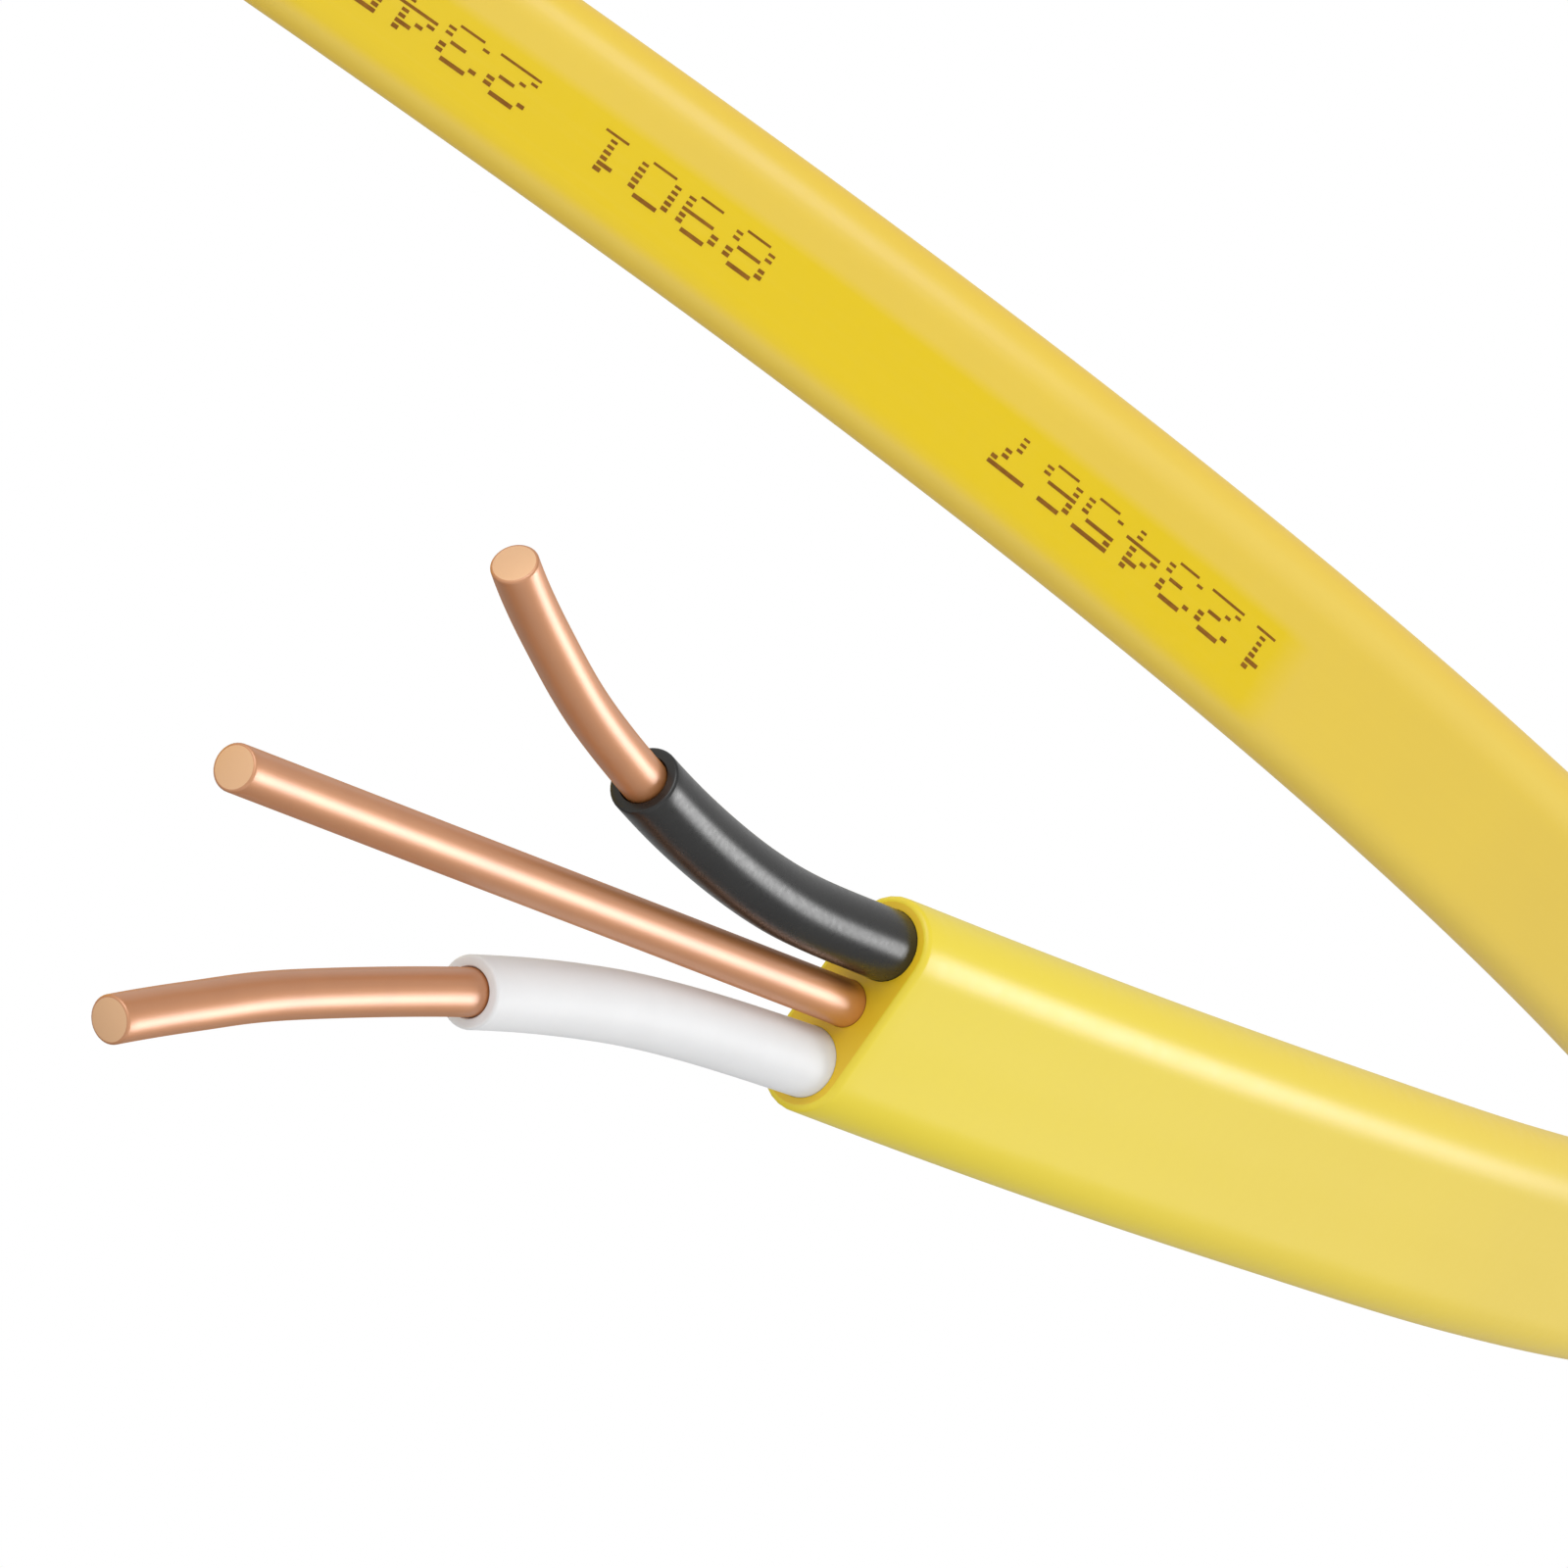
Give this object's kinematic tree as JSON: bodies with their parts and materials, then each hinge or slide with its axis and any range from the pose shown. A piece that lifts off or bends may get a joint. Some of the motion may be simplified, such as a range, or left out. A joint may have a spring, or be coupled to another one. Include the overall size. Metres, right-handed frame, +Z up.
{
  "type": "coil of flat electrical building cable",
  "caption": "Tied coil of flat yellow building cable lying on its side, its outer end leaning down in a loop and stripped to black, white and bare ground wires.",
  "frame": {"origin": "on the floor, under the middle of the footprint of the coil and its loose tail", "axes": "+Z up along the coil's axis; +X from the coil towards the far side of the loose loop; the stripped end points towards -Y"},
  "size_m": [0.3348, 0.2618, 0.0446],
  "materials": {
    "yellow_jacket": "smooth semi-gloss yellow PVC",
    "black_pvc": "semi-gloss charcoal black PVC",
    "white_pvc": "semi-gloss white PVC",
    "bare_copper": "bright drawn copper",
    "tie_nylon": "natural nylon"
  },
  "bodies": {
    "root": {"cable_coil": "yellow_jacket", "tail_jacket": "yellow_jacket", "black_insulation": "black_pvc", "white_insulation": "white_pvc", "black_wire_copper": "bare_copper", "white_wire_copper": "bare_copper", "ground_wire_copper": "bare_copper", "coil_tie_1": "tie_nylon", "coil_tie_2": "tie_nylon", "coil_tie_3": "tie_nylon", "coil_tie_4": "tie_nylon"}
  },
  "joints": []
}
